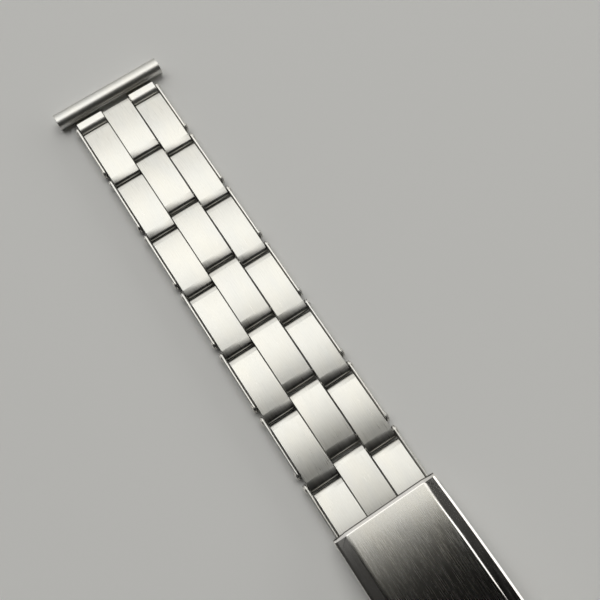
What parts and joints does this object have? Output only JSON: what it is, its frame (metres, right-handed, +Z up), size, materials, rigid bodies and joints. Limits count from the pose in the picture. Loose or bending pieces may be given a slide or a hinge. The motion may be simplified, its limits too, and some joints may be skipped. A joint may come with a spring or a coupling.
{
  "type": "rivet link watch bracelet",
  "caption": "Steel watch bracelet of folded sheet links riveted between side plates, with tube ends for the watch lugs and a curved fold-over clasp.",
  "frame": {"origin": "centre of the bounding box's underside, under the middle of the whole length", "axes": "+X along the bracelet from the twelve o'clock end to the six o'clock end, +Y across it, +Z up out of the face of the links"},
  "size_m": [0.1886, 0.02, 0.0062],
  "materials": {
    "link_steel": "satin, brushed lengthwise",
    "plate_steel": "bright, polished edges",
    "rivet_steel": "polished",
    "tube_steel": "satin",
    "cover_steel": "brushed top, polished bevels",
    "blade_steel": "satin",
    "pin_steel": "drawn wire"
  },
  "bodies": {
    "clasp": {"clasp_cover": "cover_steel", "catch_spring": "blade_steel", "spring_bar_tube": "pin_steel"},
    "middle_blade": {"middle_blade": "blade_steel", "clasp_hinge_pins": "pin_steel"},
    "bottom_blade": {"bottom_blade": "blade_steel", "strap_end_pin": "pin_steel"},
    "spring_bar_tip_left": {"spring_bar_tip_left": "pin_steel"},
    "spring_bar_tip_right": {"spring_bar_tip_right": "pin_steel"},
    "row_1": {"centre_link_1": "link_steel", "outer_links_1": "link_steel", "side_plates_1": "plate_steel", "rivets_1": "rivet_steel"},
    "row_2": {"centre_link_2": "link_steel", "outer_links_2": "link_steel", "side_plates_2": "plate_steel", "rivets_2": "rivet_steel"},
    "row_3": {"centre_link_3": "link_steel", "outer_links_3": "link_steel", "side_plates_3": "plate_steel", "rivets_3": "rivet_steel"},
    "row_4": {"centre_link_4": "link_steel", "outer_links_4": "link_steel", "side_plates_4": "plate_steel", "rivets_4": "rivet_steel"},
    "row_5": {"centre_link_5": "link_steel", "outer_links_5": "link_steel", "side_plates_5": "plate_steel", "rivets_5": "rivet_steel"},
    "row_6": {"centre_link_6": "link_steel", "outer_links_6": "link_steel", "side_plates_6": "plate_steel", "rivets_6": "rivet_steel"},
    "row_7": {"centre_link_7": "link_steel", "outer_links_7": "link_steel", "side_plates_7": "plate_steel", "rivets_7": "rivet_steel"},
    "row_8": {"centre_link_8": "link_steel", "outer_links_8": "link_steel", "side_plates_8": "plate_steel", "rivets_8": "rivet_steel"},
    "row_9": {"centre_link_9": "link_steel", "outer_links_9": "link_steel", "side_plates_9": "plate_steel", "rivets_9": "rivet_steel"},
    "row_10": {"centre_link_10": "link_steel", "outer_links_10": "link_steel", "side_plates_10": "plate_steel", "rivets_10": "rivet_steel"},
    "row_11": {"centre_link_11": "link_steel", "outer_links_11": "link_steel", "side_plates_11": "plate_steel", "rivets_11": "rivet_steel"},
    "row_12": {"centre_link_12": "link_steel", "outer_links_12": "link_steel", "side_plates_12": "plate_steel", "rivets_12": "rivet_steel"},
    "end_tube_upper": {"end_tube_upper": "tube_steel"},
    "end_tube_lower": {"end_tube_lower": "tube_steel"}
  },
  "joints": [
    {"name": "clasp_fold", "type": "hinge", "parent": "clasp", "child": "middle_blade", "pos_m": [0.02577, 0, 0.00269], "axis": [0, 1, 0], "range_deg": [-160, 0]},
    {"name": "blade_fold", "type": "hinge", "parent": "middle_blade", "child": "bottom_blade", "pos_m": [0.0004, 0, 0.00281], "axis": [0, 1, 0], "range_deg": [0, 160]},
    {"name": "row_7_hinge", "type": "hinge", "parent": "clasp", "child": "row_7", "pos_m": [-0.0067, 0, 0.00105], "axis": [0, -1, 0], "range_deg": [-6, 32]},
    {"name": "row_6_hinge", "type": "hinge", "parent": "row_7", "child": "row_6", "pos_m": [-0.0185, 0, 0.00105], "axis": [0, -1, 0], "range_deg": [-6, 32]},
    {"name": "row_5_hinge", "type": "hinge", "parent": "row_6", "child": "row_5", "pos_m": [-0.0303, 0, 0.00105], "axis": [0, -1, 0], "range_deg": [-6, 32]},
    {"name": "row_4_hinge", "type": "hinge", "parent": "row_5", "child": "row_4", "pos_m": [-0.0421, 0, 0.00105], "axis": [0, -1, 0], "range_deg": [-6, 32]},
    {"name": "row_3_hinge", "type": "hinge", "parent": "row_4", "child": "row_3", "pos_m": [-0.0539, 0, 0.00105], "axis": [0, -1, 0], "range_deg": [-6, 32]},
    {"name": "row_2_hinge", "type": "hinge", "parent": "row_3", "child": "row_2", "pos_m": [-0.0657, 0, 0.00105], "axis": [0, -1, 0], "range_deg": [-6, 32]},
    {"name": "row_1_hinge", "type": "hinge", "parent": "row_2", "child": "row_1", "pos_m": [-0.0775, 0, 0.00105], "axis": [0, -1, 0], "range_deg": [-6, 32]},
    {"name": "end_tube_upper_hinge", "type": "hinge", "parent": "row_1", "child": "end_tube_upper", "pos_m": [-0.0893, 0, 0.00105], "axis": [0, -1, 0], "range_deg": [-30, 45]},
    {"name": "row_8_hinge", "type": "hinge", "parent": "bottom_blade", "child": "row_8", "pos_m": [0.0303, 0, 0.00105], "axis": [0, 1, 0], "range_deg": [-6, 32]},
    {"name": "row_9_hinge", "type": "hinge", "parent": "row_8", "child": "row_9", "pos_m": [0.0421, 0, 0.00105], "axis": [0, 1, 0], "range_deg": [-6, 32]},
    {"name": "row_10_hinge", "type": "hinge", "parent": "row_9", "child": "row_10", "pos_m": [0.0539, 0, 0.00105], "axis": [0, 1, 0], "range_deg": [-6, 32]},
    {"name": "row_11_hinge", "type": "hinge", "parent": "row_10", "child": "row_11", "pos_m": [0.0657, 0, 0.00105], "axis": [0, 1, 0], "range_deg": [-6, 32]},
    {"name": "row_12_hinge", "type": "hinge", "parent": "row_11", "child": "row_12", "pos_m": [0.0775, 0, 0.00105], "axis": [0, 1, 0], "range_deg": [-6, 32]},
    {"name": "end_tube_lower_hinge", "type": "hinge", "parent": "row_12", "child": "end_tube_lower", "pos_m": [0.0893, 0, 0.00105], "axis": [0, 1, 0], "range_deg": [-30, 45]},
    {"name": "spring_bar_tip_left_slide", "type": "slide", "parent": "clasp", "child": "spring_bar_tip_left", "axis": [0, 1, 0], "range_m": [0, 0.00075], "stiffness_N_per_m": 60},
    {"name": "spring_bar_tip_right_slide", "type": "slide", "parent": "clasp", "child": "spring_bar_tip_right", "axis": [0, -1, 0], "range_m": [0, 0.00075], "stiffness_N_per_m": 60}
  ],
  "couplings": [
    {"joint": "blade_fold", "follows": "clasp_fold", "ratio": -1}
  ]
}
